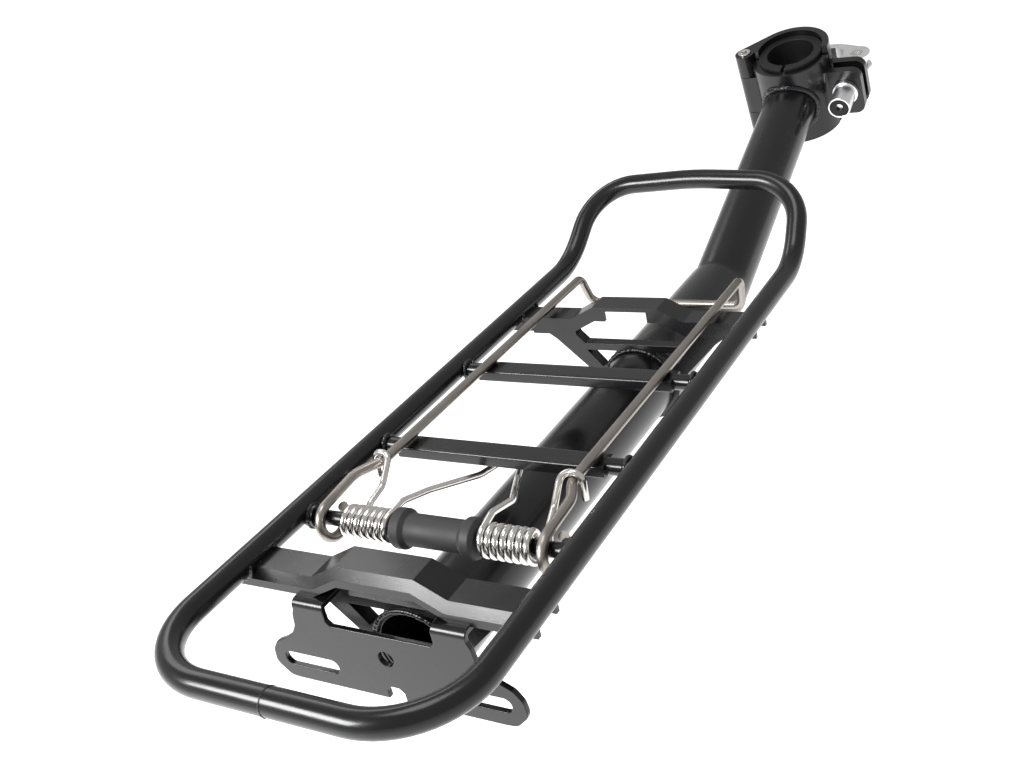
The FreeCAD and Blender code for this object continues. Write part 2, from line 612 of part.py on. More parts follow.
def make_cam_pin():
    """Cross pin that the lever turns on."""
    pin = cylinder("cam_pin", "cam_pin_d / 2", "lever_h", (CAM_X, "-" + EAR_Y, "-lever_h / 2"))
    dimples = [cylinder("cam_pin_dimple_" + end, "cam_pin_d / 4", "1", (CAM_X, "-" + EAR_Y, low))
               for end, low in (("top", "lever_h / 2 - 0.6"), ("bottom", "-lever_h / 2 - 0.4"))]
    return keep(place(cut("cam_pin_part", pin, *dimples), leaning=True), "qr_cam_pin")


def make_nut_seat():
    """Collar that slides on the skewer and bears on the rear ear."""
    disc = cylinder("seat_disc", "seat_d / 2", "seat_t - 0.15",
                    ("%s - seat_t" % REAR_EAR_X, "-" + EAR_Y, "0"), X_AXIS)
    hole = cylinder("seat_hole", "skewer_d / 2 + pin_gap", "4 * seat_t",
                    ("%s - 2 * seat_t" % REAR_EAR_X, "-" + EAR_Y, "0"), X_AXIS)
    done = cut("seat", disc, hole)
    return keep(place(done, leaning=True), "qr_nut_seat")


def make_barrel_nut():
    """Long hand nut on the skewer."""
    back = "%s - seat_t - barrel_len" % REAR_EAR_X
    barrel = cylinder("barrel", "barrel_d / 2", "barrel_len - 0.15",
                      (back, "-" + EAR_Y, "0"), X_AXIS)
    hole = cylinder("barrel_hole", "skewer_d / 2 + pin_gap", "2 * barrel_len",
                    (back, "-" + EAR_Y, "0"), X_AXIS)
    recess = cylinder("barrel_recess", "barrel_d / 2 - barrel_wall", "insert_depth",
                      (back, "-" + EAR_Y, "0"), X_AXIS)
    done = cut("barrel_nut", barrel, hole, recess)
    return keep(place(done, leaning=True), "qr_nut")


def make_nut_insert():
    """Nylon ring that locks the barrel nut."""
    back = "%s - seat_t - barrel_len" % REAR_EAR_X
    ring = cylinder("insert_ring", "barrel_d / 2 - barrel_wall", "insert_depth - 0.8",
                    ("%s + 0.8" % back, "-" + EAR_Y, "0"), X_AXIS)
    hole = cylinder("insert_hole", "skewer_d / 2 + pin_gap", "4 * insert_depth",
                    ("%s - insert_depth" % back, "-" + EAR_Y, "0"), X_AXIS)
    done = cut("insert", ring, hole)
    return keep(place(done, leaning=True), "qr_nut_insert")


# --------------------------------------------------------------------------
# Platform
# --------------------------------------------------------------------------
def rack_point(x, y, up):
    """A point given from the rear tube, the middle plane and the rail plane."""
    return V(value("-rack_back + (%s)" % x), value(y), value("%s + (%s)" % (RAIL_Z, up)))


def make_loop():
    """Bent rod: rear end, two rails and the raised front hoop, closed by a weld."""
    corners = [rack_point("0", "0", "0"), rack_point("0", RAIL_Y, "0"),
               rack_point("hoop_start", RAIL_Y, "0"),
               rack_point("hoop_start + hoop_reach", HOOP_Y, "hoop_up"),
               rack_point("hoop_start + hoop_reach + crown_out", "0", "hoop_up + crown_up"),
               rack_point("hoop_start + hoop_reach", "-" + HOOP_Y, "hoop_up")]
    radii = [value(name) for name in ("corner_r", "hoop_bend_r", "hoop_corner_r", "crown_r")]
    rod = sweep_wire(bent_path(corners, radii), value("rail_d") / 2)
    return keep(feature("loop", solid_of(both_sides(half_of(rod, 1)))), "platform_loop")


def make_crossbar(name, bar_x):
    """Flat bar with rounded edges and round necks welded to the rails."""
    body = make_body(name + "_body")
    section = sketch_on(body, name + "_section", "XZ_Plane")
    polygon(section, (("-bar_w / 2", "-bar_t / 2"), ("bar_w / 2", "-bar_t / 2"),
                      ("bar_w / 2", "bar_t / 2"), ("-bar_w / 2", "bar_t / 2")))
    bar = pad(body, name + "_bar", section, "2 * " + BAR_HALF, midplane=True)
    doc.recompute()
    long_edges = edges_where(bar.Shape, lambda point: True)
    long_edges = [edge for edge in long_edges
                  if abs(bar.Shape.getElement(edge).tangentAt(0).y) > 0.99]
    dress(body, "Fillet", name + "_rounded", bar, long_edges, Radius="bar_edge")
    doc.recompute()
    place(body, ("-rack_back + %s" % bar_x, "0", RAIL_Z + " - bar_drop"))
    necks = [cylinder("%s_%s_neck" % (name, side), "neck_d / 2", "%s - %s" % (RAIL_Y, BAR_HALF),
                      ("-rack_back + %s" % bar_x, start, RAIL_Z + " - bar_drop"), Y_AXIS)
             for side, start in (("left", BAR_HALF + " - 1"), ("right", "1 - " + RAIL_Y))]
    rails = [cylinder("%s_%s_rail" % (name, side), "rail_d / 2", "4 * bar_w",
                      ("-rack_back + %s - 2 * bar_w" % bar_x, "%s%s" % (sign, RAIL_Y), RAIL_Z), X_AXIS)
             for side, sign in (("left", ""), ("right", "-"))]
    return keep(cut(name + "_fitted", fuse(name + "_with_necks", body, *necks), *rails), name)


def band_outline(top_half, low_half, drop):
    """The hat-shaped band of a bracket, seen along the rails."""
    end = "(%s + bracket_over)" % RAIL_Y
    rise = "hat_rise"
    top = [("-" + end, "0"), ("-ramp_end", "0"), ("-" + top_half, rise),
           (top_half, rise), ("ramp_end", "0"), (end, "0")]
    low = [(end, "-(%s)" % drop), ("ramp_end", "-(%s)" % drop),
           (low_half, "%s - (%s)" % (rise, drop)), ("-" + low_half, "%s - (%s)" % (rise, drop)),
           ("-ramp_end", "-(%s)" % drop), ("-" + end, "-(%s)" % drop)]
    return top + low


def make_bracket(name, bracket_x, facing):
    """Stamped channel across the rails with a raised middle.

    The bevelled outer side faces away from the middle of the rack, the inner
    side is open at the raised part.  facing is +1 when the inner side faces
    forward.
    """
    body = make_body(name + "_body")
    band = sketch_on(body, name + "_band", "YZ_Plane")
    polygon(band, band_outline("hat_half", "hat_half", "band_t"))
    block = pad(body, name + "_block", band, "bracket_w", reverse=facing < 0)
    doc.recompute()
    rise, ramp = value("hat_rise"), value("ramp_end")

    def on_top(point):
        flat = abs(point.z - rise) < 1e-4 and abs(point.y) < ramp
        wing = abs(point.z) < 1e-4
        return abs(point.x) < 1e-4 and (flat or wing)

    names = [edge for edge in edges_where(block.Shape, on_top)
             if abs(block.Shape.getElement(edge).tangentAt(0).x) < 0.01]
    bevel = dress(body, "Chamfer", name + "_bevel", block, names, Size="bevel_x", Size2="bevel_z")
    bevel.ChamferType = 1
    doc.recompute()
    hollow = sketch_on(body, name + "_inside", "YZ_Plane",
                       "sheet" if facing > 0 else "-sheet")
    inner = band_outline("hat_half - sheet / 2", "hat_half - sheet / 2", "band_t + 1")
    inner = [(y, "%s - sheet" % z) for y, z in inner]
    polygon(hollow, inner)
    pocket(body, name + "_hollow", hollow, reverse=facing > 0, length="bracket_w - 2 * sheet")
    window = sketch_on(body, name + "_window", "YZ_Plane",
                       "bracket_w / 2" if facing > 0 else "-bracket_w / 2")
    polygon(window, (("-window_half", "hat_rise - sheet"), ("window_half", "hat_rise - sheet"),
                     ("window_half", "-band_t"), ("-window_half", "-band_t")))
    pocket(body, name + "_opening", window, reverse=facing > 0, length="bracket_w")
    place(body, ("-rack_back + %s" % bracket_x, "0", WING_Z))
    rails = [cylinder("%s_%s_rail" % (name, side), "rail_d / 2", "4 * bracket_w",
                      ("-rack_back + %s - 2 * bracket_w" % bracket_x, "%s%s" % (sign, RAIL_Y), RAIL_Z),
                      X_AXIS)
             for side, sign in (("left", ""), ("right", "-"))]
    outer = [box("%s_%s_trim" % (name, side), "4 * bracket_w", "rail_span", "rail_d",
                 ("-rack_back + %s - 2 * bracket_w" % bracket_x, start, RAIL_Z + " - rail_d * 0.3"))
             for side, start in (("left", RAIL_Y), ("right", "-%s - rail_span" % RAIL_Y))]
    return keep(cut(name + "_fitted", body, *(rails + outer)), name)


def make_truss(name, truss_x):
    """Cast support: a collar on the beam, two raking arms, a tie and two feet."""
    body = make_body(name + "_body")
    tie_top = "platform_up - wing_drop - band_t - tie_drop"
    foot_top = "platform_up - wing_drop - band_t"
    outline = sketch_on(body, name + "_outline", "YZ_Plane")
    half = [("tie_half", tie_top), ("foot_in", "%s - foot_t" % foot_top), ("foot_in", foot_top),
            ("foot_half", foot_top), ("foot_half", "%s - foot_t" % foot_top),
            ("arm_out + 4", "%s - foot_t" % foot_top),
            ("arm_out", "%s - foot_t - 3" % foot_top),
            ("arm_low", "%s - foot_t - 3 - (arm_out - arm_low)" % foot_top)]
    mirrored = [("-(%s)" % y, z) for y, z in reversed(half)]
    polygon(outline, half + mirrored)
    pad(body, name + "_frame", outline, "truss_t")
    ring = sketch_on(body, name + "_ring", "YZ_Plane")
    circle(ring, ("0", "0"), "beam_d / 2 + collar_t")
    pad(body, name + "_collar", ring, "truss_t")
    bore = sketch_on(body, name + "_bore", "YZ_Plane")
    circle(bore, ("0", "0"), "beam_d / 2")
    pocket(body, name + "_beam_hole", bore, reverse=True)
    holes = sketch_on(body, name + "_windows", "YZ_Plane")
    tie_low = "%s - tie_t" % tie_top
    for sign in ("", "-"):
        polygon(holes, ((sign + "(beam_d / 2 * 0.42)", tie_low), (sign + "(tie_half - 0.5)", tie_low),
                        (sign + "(beam_d / 2 + 1.6)", "beam_d / 2 * 0.48")))
    pocket(body, name + "_openings", holes, reverse=True)
    place(body, ("-rack_back + %s" % truss_x, "0", BEAM_Z))
    tube = cylinder(name + "_beam_room", "beam_d / 2", "4 * truss_t",
                    ("-rack_back + %s - 2 * truss_t" % truss_x, "0", BEAM_Z), X_AXIS)
    return keep(cut(name + "_fitted", body, tube), name)


def make_plate():
    """Rear plate with two bent tabs, two ears with slots and a strap notch."""
    body = make_body("plate")
    top = "0"
    low = "-plate_drop"
    side = [("tab_out", "-tab_bend_r - 1"), ("plate_half - 0.8", "-tab_bend_r - 4"),
            ("plate_half", "-plate_drop * 0.31"), ("plate_half + 2.8", "-plate_drop * 0.42"),
            ("ear_half_y - 9.5", "-plate_drop * 0.505"), ("ear_half_y - 4", "-plate_drop * 0.57"),
            ("ear_half_y - 0.8", "-plate_drop * 0.68"), ("ear_half_y", "-plate_drop * 0.84"),
            ("ear_half_y - 6", "%s + 0.4" % low), ("ear_half_y - 11", low)]
    half = [("tab_in", top), ("tab_out", top)] + side + [("hook_w / 2", low)]
    outline = sketch_on(body, "plate_outline", "YZ_Plane")
    right = [(y, z) for y, z in half]
    left = [("-(%s)" % y, z) for y, z in reversed(half)]
    hook_top = "%s + hook_up" % low
    hook = [("hook_w / 2", "%s - hook_w / 4" % hook_top), ("hook_w / 4", hook_top),
            ("-hook_w / 4", hook_top), ("-hook_w / 2", "%s - hook_w / 4" % hook_top)]
    cutout = [("-tab_in", "-cutout_drop + cutout_r / 2"), ("-tab_in + cutout_r / 2", "-cutout_drop"),
              ("tab_in - cutout_r / 2", "-cutout_drop"), ("tab_in", "-cutout_drop + cutout_r / 2")]
    polygon(outline, right + hook + left + cutout)
    blank = pad(body, "plate_sheet", outline, "plate_t")
    doc.recompute()
    corners = [(value(y), value(z)) for y, z in side[1:]]

    def on_side(point):
        return any(math.hypot(abs(point.y) - y, point.z - z) < 1e-3 for y, z in corners)

    across = [edge for edge in edges_where(blank.Shape, on_side)
              if abs(blank.Shape.getElement(edge).tangentAt(0).x) > 0.99]
    dress(body, "Fillet", "plate_ears_rounded", blank, across, Radius="ear_round")
    slots = sketch_on(body, "plate_slots", "YZ_Plane")
    slot(slots, ("slot_c", "%s + slot_up" % low), "slot_len", "slot_w")
    slot(slots, ("-slot_c", "%s + slot_up" % low), "slot_len", "slot_w")
    circle(slots, ("0", "%s + hole_up" % low), "hole_d / 2")
    pocket(body, "plate_holes", slots, reverse=True)
    tabs = sketch_on(body, "plate_tabs", "XZ_Plane")
    polygon(tabs, (("0", "0"), ("0", "-tab_bend_r"), ("plate_t", "-tab_bend_r"), ("plate_t", "-plate_t"),
                   ("tab_len", "-plate_t"), ("tab_len", "0")))
    pad(body, "plate_tab_strip", tabs, "2 * tab_out", midplane=True)
    doc.recompute()
    gap = sketch_on(body, "plate_tab_gap", "XY_Plane", "-cutout_drop / 2")
    polygon(gap, (("-1", "-tab_in"), ("tab_len + 1", "-tab_in"), ("tab_len + 1", "tab_in"),
                  ("-1", "tab_in")))
    pocket(body, "plate_tab_split", gap, reverse=True, length="cutout_drop")
    bend = edges_where(body.Tip.Shape, lambda point: abs(point.x) < 1e-4 and abs(point.z) < 1e-4)
    rounded = dress(body, "Fillet", "plate_bend", body.Tip, bend, Radius="tab_bend_r")
    doc.recompute()
    body.Tip = rounded
    place(body, ("-rack_back + plate_x", "0", FOOT_Z))
    return keep(body, "reflector_plate")


# --------------------------------------------------------------------------
# Spring trap
# --------------------------------------------------------------------------
def make_pivot_rod():
    """Cross rod that the bow, the springs and the sleeve sit on."""
    half = "(%s - rail_d / 2 + 0.6)" % RAIL_Y
    rod = cylinder("rod", "rod_d / 2", "2 * %s" % half, (PIVOT_X, "-" + half, ROD_Z), Y_AXIS)
    rails = [cylinder("rod_%s_rail" % side, "rail_d / 2", "4 * rod_d",
                      ("%s - 2 * rod_d" % PIVOT_X, "%s%s" % (sign, RAIL_Y), RAIL_Z), X_AXIS)
             for side, sign in (("left", ""), ("right", "-"))]
    return keep(cut("rod_fitted", rod, *rails), "pivot_rod")


def make_bosses():
    """Two short sockets welded to the rails for the rod's ends."""
    outer = "(%s - rail_d / 2 + 2.5)" % RAIL_Y
    tubes = [cylinder("boss_" + side, "boss_d / 2", "boss_len", (PIVOT_X, start, ROD_Z), Y_AXIS)
             for side, start in (("left", "%s - boss_len" % outer), ("right", "-" + outer))]
    tools = [cylinder("boss_bore", "rod_d / 2", "2 * rail_span", (PIVOT_X, "-rail_span", ROD_Z), Y_AXIS)]
    tools += [cylinder("boss_%s_rail" % side, "rail_d / 2", "4 * boss_d",
                       ("%s - 2 * boss_d" % PIVOT_X, "%s%s" % (sign, RAIL_Y), RAIL_Z), X_AXIS)
              for side, sign in (("left", ""), ("right", "-"))]
    return keep(cut("bosses", fuse("boss_pair", *tubes), *tools), "rod_bosses")


def make_sleeve():
    """Rubber grip sleeve with a thick collar at each end."""
    body = make_body("sleeve")
    section = sketch_on(body, "sleeve_section", "YZ_Plane")
    r_in, r_mid, r_end = "(rod_d / 2 + sleeve_gap)", "(sleeve_d / 2)", "(collar_d / 2)"
    end, step = "sleeve_half", "(sleeve_half - collar_w)"
    polygon(section, (("-" + end, r_in), (end, r_in), (end, r_end + " - 1.5"), (end + " - 1.5", r_end),
                      (step, r_end), ("(%s - 2)" % step, r_mid), ("-(%s - 2)" % step, r_mid),
                      ("-" + step, r_end), ("-%s + 1.5" % end, r_end), ("-" + end, r_end + " - 1.5")))
    turned = body.newObject("PartDesign::Revolution", "sleeve_turned")
    turned.Profile = section
    turned.ReferenceAxis = (section, ["H_Axis"])
    turned.Angle = 360
    place(body, (PIVOT_X, "trap_shift", ROD_Z))
    return keep(body, "spring_sleeve")


def helix_about(axis_point, radius, pitch, turns, outward=True):
    """A helix on a cross axis that starts on top and first moves backwards."""
    way = 1 if outward else -1
    edge = Part.makeHelix(pitch, pitch * turns, radius, 0, outward)
    turned = App.Rotation(Z_AXIS, X_AXIS * way, Y_AXIS * way, "XYZ")
    edge.Placement = App.Placement(axis_point, turned)
    return edge.Edges[0]


def half_bow(eye_y, tail_step):
    """Left half of the bow; tail_step is how far its cut end sits outside the arm."""
    turns = value("tail_turn") / 360
    eye = rack_point("rod_x", eye_y, "-rod_drop - eye_drop")
    ring = helix_about(eye, value("eye_r"), abs(tail_step), turns, tail_step > 0)
    start, into = ring.valueAt(ring.FirstParameter), ring.tangentAt(ring.FirstParameter)
    tip = "bow_tip_x + bow_hook"
    arm = [start, start - into * 6, rack_point("rod_x + 23", str(value(eye_y)), "bow_up"),
           rack_point("jog_x", "bow_y", "bow_up"), rack_point("bow_tip_x", "bow_y", "bow_tip_up"),
           rack_point(tip, "bow_y - 2.5", "-bow_cross_drop"), rack_point(tip, "-10", "-bow_cross_drop")]
    wire = value("bow_wire")
    route = bent_path(arm, [8 * wire, 3 * wire, 3 * wire, 1.25 * wire, 1.3 * wire])
    return sweep_wire([ring] + route, wire / 2)


def make_bow():
    """Wire bow: an eye round the rod each side, two long arms and a hooked end."""
    left = half_of(half_bow("eye_left", -value("tail_step")), 1)
    right = half_of(half_bow("eye_right", value("tail_step")), 1).mirror(V(), Y_AXIS)
    return keep(feature("bow", solid_of(left.fuse(right).removeSplitter())), "trap_bow")


def half_spring(shift):
    """Left half of the spring; shift moves its coil along the rod."""
    radius, wire = value("coil_r"), value("coil_wire")
    inner = value("coil_in") + shift
    coil = helix_about(rack_point("rod_x", str(inner), "-rod_drop"), radius, value("coil_pitch"),
                       value("coil_turns"))
    start, end = coil.valueAt(coil.FirstParameter), coil.valueAt(coil.LastParameter)
    into, out = coil.tangentAt(coil.FirstParameter), coil.tangentAt(coil.LastParameter)
    bridge_x, bridge_z = "rear_bar_x + bar_w / 2 + coil_wire", "-bar_drop - bar_t / 2 - coil_wire * 1.5"
    inner_leg = [rack_point(bridge_x, "-6", bridge_z), rack_point(bridge_x, "4.5", bridge_z),
                 rack_point("rear_bar_x - bar_w / 2", "9.5", bridge_z),
                 rack_point("rod_x + 26", str(inner - 2), "-1.4"), start - into * 9, start]
    top = "bow_up + bow_wire / 2 + coil_wire / 2 + 0.2"
    near, far = "bow_y - hook_reach", "bow_y + hook_reach"
    outer_leg = [end, end + out * 7, rack_point("rod_x + 15", str((end.y + value(near)) / 2), "-3.8"),
                 rack_point("jog_x - 10", near, "-1.6"), rack_point("jog_x", near, top),
                 rack_point("jog_x + 1", far, top), rack_point("jog_x", far, "-3.5")]
    route = bent_path(inner_leg, [3.4, 14, 10, 9]) + [coil]
    bends = value("hook_reach") - 0.2
    route += bent_path(outer_leg, [5, 5, 6, bends, bends])
    return sweep_wire(route, wire / 2)


def make_spring():
    """Double torsion spring: two coils on the rod, legs over the bow and under the bar."""
    shift = value("trap_shift")
    left = half_of(half_spring(shift), 1)
    right = half_of(half_spring(-shift), 1).mirror(V(), Y_AXIS)
    return keep(feature("spring", solid_of(left.fuse(right).removeSplitter())), "trap_spring")


# --------------------------------------------------------------------------
# Build, check and write
# --------------------------------------------------------------------------
make_beam()
make_stem()
make_clamp_body()
make_clamp_arm()
make_liner()
make_hinge_bolt()
make_hinge_nut()
make_hinge_washer()
make_skewer()
make_cam_washer()
make_lever()
make_cam_pin()
make_nut_seat()
make_barrel_nut()
make_nut_insert()
make_loop()
make_crossbar("rear_crossbar", "rear_bar_x")
make_crossbar("front_crossbar", "front_bar_x")
make_bracket("rear_bracket", "rear_bracket_x", 1)
make_bracket("front_bracket", "front_bracket_x", -1)
make_truss("rear_truss", "rear_truss_x")
make_truss("front_truss", "front_truss_x")
make_plate()
make_pivot_rod()
make_bosses()
make_sleeve()
make_bow()
make_spring()
doc.recompute()

for item in doc.Objects:
    if "Invalid" in item.State or "Error" in item.State:
        raise RuntimeError("%s is %s" % (item.Name, item.State))
for item in PIECES:
    if item.Shape.isNull() or not item.Shape.isValid():
        raise RuntimeError(item.Label + " has no valid shape")

os.makedirs("parts", exist_ok=True)
for item in PIECES:
    item.Shape.exportStep(os.path.join("parts", item.Label + ".step"))
    box_size = item.Shape.BoundBox
    print("%-18s %d solid(s) %9.1f mm3  %.0f x %.0f x %.0f" % (
        item.Label, len(item.Shape.Solids), item.Shape.Volume,
        box_size.XLength, box_size.YLength, box_size.ZLength))
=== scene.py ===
import json
import math
import bmesh
import bpy
from mathutils import Matrix, Vector

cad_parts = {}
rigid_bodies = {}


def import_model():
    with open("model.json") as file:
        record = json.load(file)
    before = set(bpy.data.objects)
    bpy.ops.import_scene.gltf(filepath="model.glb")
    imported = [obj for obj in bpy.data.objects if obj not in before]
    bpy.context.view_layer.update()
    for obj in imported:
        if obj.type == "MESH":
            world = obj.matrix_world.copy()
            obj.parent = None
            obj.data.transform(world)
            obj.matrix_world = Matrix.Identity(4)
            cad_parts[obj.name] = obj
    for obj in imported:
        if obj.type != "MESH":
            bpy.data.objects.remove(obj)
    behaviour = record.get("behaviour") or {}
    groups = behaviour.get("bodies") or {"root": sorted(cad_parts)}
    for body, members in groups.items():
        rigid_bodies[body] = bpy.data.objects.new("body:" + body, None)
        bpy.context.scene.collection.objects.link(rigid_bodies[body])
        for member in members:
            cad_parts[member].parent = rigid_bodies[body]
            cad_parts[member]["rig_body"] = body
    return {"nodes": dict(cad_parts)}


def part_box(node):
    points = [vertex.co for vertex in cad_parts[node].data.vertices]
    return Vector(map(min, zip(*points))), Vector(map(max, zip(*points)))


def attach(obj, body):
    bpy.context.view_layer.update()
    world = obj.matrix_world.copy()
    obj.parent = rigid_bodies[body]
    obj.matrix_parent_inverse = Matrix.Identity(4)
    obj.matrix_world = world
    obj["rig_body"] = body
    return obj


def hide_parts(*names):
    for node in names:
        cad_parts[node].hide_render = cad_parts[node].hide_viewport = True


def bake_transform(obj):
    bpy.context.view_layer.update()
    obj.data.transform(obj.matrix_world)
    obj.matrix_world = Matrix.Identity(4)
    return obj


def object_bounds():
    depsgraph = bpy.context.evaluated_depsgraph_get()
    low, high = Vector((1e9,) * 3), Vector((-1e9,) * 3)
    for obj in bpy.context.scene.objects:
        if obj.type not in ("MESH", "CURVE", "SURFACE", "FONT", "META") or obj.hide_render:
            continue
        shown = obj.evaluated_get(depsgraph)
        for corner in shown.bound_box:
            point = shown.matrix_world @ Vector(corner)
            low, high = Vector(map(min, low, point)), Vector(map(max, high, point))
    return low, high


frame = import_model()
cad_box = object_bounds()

# --------------------------------------------------------------------------
# Camera: low behind the rack, to the right of it, rolled with the platform
# --------------------------------------------------------------------------
camera_data = bpy.data.cameras.new("camera")
camera_data.sensor_width = 36.0
camera_data.lens = 42.08
camera_data.clip_start, camera_data.clip_end = 0.02, 60.0
camera = bpy.data.objects.new("camera", camera_data)
bpy.context.scene.collection.objects.link(camera)
to_right = Vector((0.474765, -0.856214, -0.203706))
to_top = Vector((0.475033, 0.054447, 0.878282))
to_back = Vector((-0.740906, -0.513745, 0.432579))
turn = Matrix((to_right, to_top, to_back)).transposed()
camera.matrix_world = Matrix.Translation((-0.81730, -0.27162, 0.22001)) @ turn.to_4x4()
bpy.context.scene.camera = camera

# --------------------------------------------------------------------------
# Studio: a wide white floor well below the rack, an evenly bright room and
# three softboxes; the rear one draws the bright line along every bevel
# --------------------------------------------------------------------------
scene = bpy.context.scene
scene.view_settings.view_transform = "Standard"
scene.view_settings.look = "None"
room = bpy.data.worlds.new("room")
room.use_nodes = True
room.node_tree.nodes["Background"].inputs["Color"].default_value = (1.0, 1.0, 1.0, 1.0)
room.node_tree.nodes["Background"].inputs["Strength"].default_value = 0.50
scene.world = room

floor_mesh = bpy.data.meshes.new("floor")
floor_height = cad_box[0].z - 0.45
floor_mesh.from_pydata([(-50, -50, floor_height), (50, -50, floor_height), (50, 50, floor_height),
                        (-50, 50, floor_height)], [], [(0, 1, 2, 3)])
floor = bpy.data.objects.new("floor", floor_mesh)
scene.collection.objects.link(floor)
paper = bpy.data.materials.new("white_paper")
paper.use_nodes = True
paper_shader = paper.node_tree.nodes["Principled BSDF"]
paper_shader.inputs["Base Color"].default_value = (0.93, 0.93, 0.93, 1.0)
paper_shader.inputs["Roughness"].default_value = 0.9
paper_shader.inputs["Emission Color"].default_value = (1.0, 1.0, 1.0, 1.0)
paper_shader.inputs["Emission Strength"].default_value = 0.62
floor_mesh.materials.append(paper)


def softbox(name, at, towards, width, height, watts):
    """One rectangular studio light aimed at a point."""
    data = bpy.data.lights.new(name, "AREA")
    data.shape = "RECTANGLE"
    data.size, data.size_y, data.energy = width, height, watts
    lamp = bpy.data.objects.new(name, data)
    scene.collection.objects.link(lamp)
    lamp.location = at
    lamp.rotation_mode = "QUATERNION"
    lamp.rotation_quaternion = (Vector(towards) - Vector(at)).to_track_quat("-Z", "Y")


softbox("key_rear_left", (-1.53, 0.72, 0.66), (-0.5, 0.0, 0.0), 0.7, 0.5, 32)
softbox("front_left", (0.3, 1.5, 1.3), (-0.3, 0.0, 0.0), 1.2, 0.5, 6)
softbox("overhead", (-0.4, 0.1, 1.7), (-0.4, 0.0, 0.0), 0.8, 0.8, 9)


# --------------------------------------------------------------------------
# Black paint shared by the tubes, the platform, the plates and the clamp:
# thick semi-gloss enamel over steel, with a fine orange peel
# --------------------------------------------------------------------------
def new_group(name, inputs, outputs):
    """A shader node group with named sockets; returns the tree and its two ends."""
    tree = bpy.data.node_groups.new(name, "ShaderNodeTree")
    for socket, kind, start in inputs:
        made = tree.interface.new_socket(name=socket, in_out="INPUT", socket_type=kind)
        made.default_value = start
    for socket, kind in outputs:
        tree.interface.new_socket(name=socket, in_out="OUTPUT", socket_type=kind)
    entry = tree.nodes.new("NodeGroupInput")
    leave = tree.nodes.new("NodeGroupOutput")
    return tree, entry, leave


def grain_group():
    """Fine and coarse noise over object coordinates, for height and for gloss."""
    tree, entry, leave = new_group(
        "surface_grain",
        [("Fine Scale", "NodeSocketFloat", 900.0), ("Coarse Scale", "NodeSocketFloat", 40.0),
         ("Stretch", "NodeSocketVector", (1.0, 1.0, 1.0)),
         ("Gloss Low", "NodeSocketFloat", 0.25), ("Gloss High", "NodeSocketFloat", 0.4)],
        [("Height", "NodeSocketFloat"), ("Roughness", "NodeSocketFloat"), ("Tone", "NodeSocketFloat")])
    place = tree.nodes.new("ShaderNodeTexCoord")
    stretch = tree.nodes.new("ShaderNodeVectorMath")
    stretch.operation = "MULTIPLY"
    fine = tree.nodes.new("ShaderNodeTexNoise")
    coarse = tree.nodes.new("ShaderNodeTexNoise")
    fine.inputs["Detail"].default_value = 3.0
    coarse.inputs["Detail"].default_value = 5.0
    spread = tree.nodes.new("ShaderNodeMapRange")
    join = tree.links.new
    join(place.outputs["Object"], stretch.inputs[0])
    join(entry.outputs["Stretch"], stretch.inputs[1])
    join(stretch.outputs["Vector"], fine.inputs["Vector"])
    join(place.outputs["Object"], coarse.inputs["Vector"])
    join(entry.outputs["Fine Scale"], fine.inputs["Scale"])
    join(entry.outputs["Coarse Scale"], coarse.inputs["Scale"])
    join(fine.outputs["Fac"], leave.inputs["Height"])
    join(coarse.outputs["Fac"], spread.inputs["Value"])
    spread.inputs["From Min"].default_value = 0.3
    spread.inputs["From Max"].default_value = 0.7
    join(entry.outputs["Gloss Low"], spread.inputs["To Min"])
    join(entry.outputs["Gloss High"], spread.inputs["To Max"])
    join(spread.outputs["Result"], leave.inputs["Roughness"])
    join(coarse.outputs["Fac"], leave.inputs["Tone"])
    return tree


surface_grain = grain_group()


def grained(name, dark, light, fine=900.0, coarse=40.0, stretch=(1.0, 1.0, 1.0), gloss=(0.25, 0.4),
            bump=0.1, depth=0.0001, metallic=0.0, coat=0.0, coat_roughness=0.1, specular=0.5):
    """A finish whose colour, gloss and relief all come from the shared grain."""
    finish = bpy.data.materials.new(name)
    finish.use_nodes = True
    nodes, join = finish.node_tree.nodes, finish.node_tree.links.new
    shader = nodes["Principled BSDF"]
    shader.inputs["Metallic"].default_value = metallic
    shader.inputs["Specular IOR Level"].default_value = specular
    shader.inputs["Coat Weight"].default_value = coat
    shader.inputs["Coat Roughness"].default_value = coat_roughness
    grain = nodes.new("ShaderNodeGroup")
    grain.node_tree = surface_grain
    grain.inputs["Fine Scale"].default_value = fine
    grain.inputs["Coarse Scale"].default_value = coarse
    grain.inputs["Stretch"].default_value = stretch
    grain.inputs["Gloss Low"].default_value = gloss[0]
    grain.inputs["Gloss High"].default_value = gloss[1]
    tint = nodes.new("ShaderNodeMix")
    tint.data_type = "RGBA"
    tint.inputs["A"].default_value = (*dark, 1.0)
    tint.inputs["B"].default_value = (*light, 1.0)
    relief = nodes.new("ShaderNodeBump")
    relief.inputs["Strength"].default_value = bump
    relief.inputs["Distance"].default_value = depth
    join(grain.outputs["Tone"], tint.inputs["Factor"])
    join(tint.outputs["Result"], shader.inputs["Base Color"])
    join(grain.outputs["Roughness"], shader.inputs["Roughness"])
    join(grain.outputs["Height"], relief.inputs["Height"])
    join(relief.outputs["Normal"], shader.inputs["Normal"])
    return finish


black_paint = grained("black_paint", (0.003, 0.003, 0.0035), (0.006, 0.006, 0.007), fine=1100.0,
                      coarse=55.0, gloss=(0.22, 0.30), bump=0.22, depth=0.00008, coat=0.15,
                      coat_roughness=0.10, specular=0.36)


def baked(item):
    """A plain mesh of an object with its modifiers or its curve settled."""
    bpy.context.view_layer.update()
    graph = bpy.context.evaluated_depsgraph_get()
    return bpy.data.meshes.new_from_object(item.evaluated_get(graph))


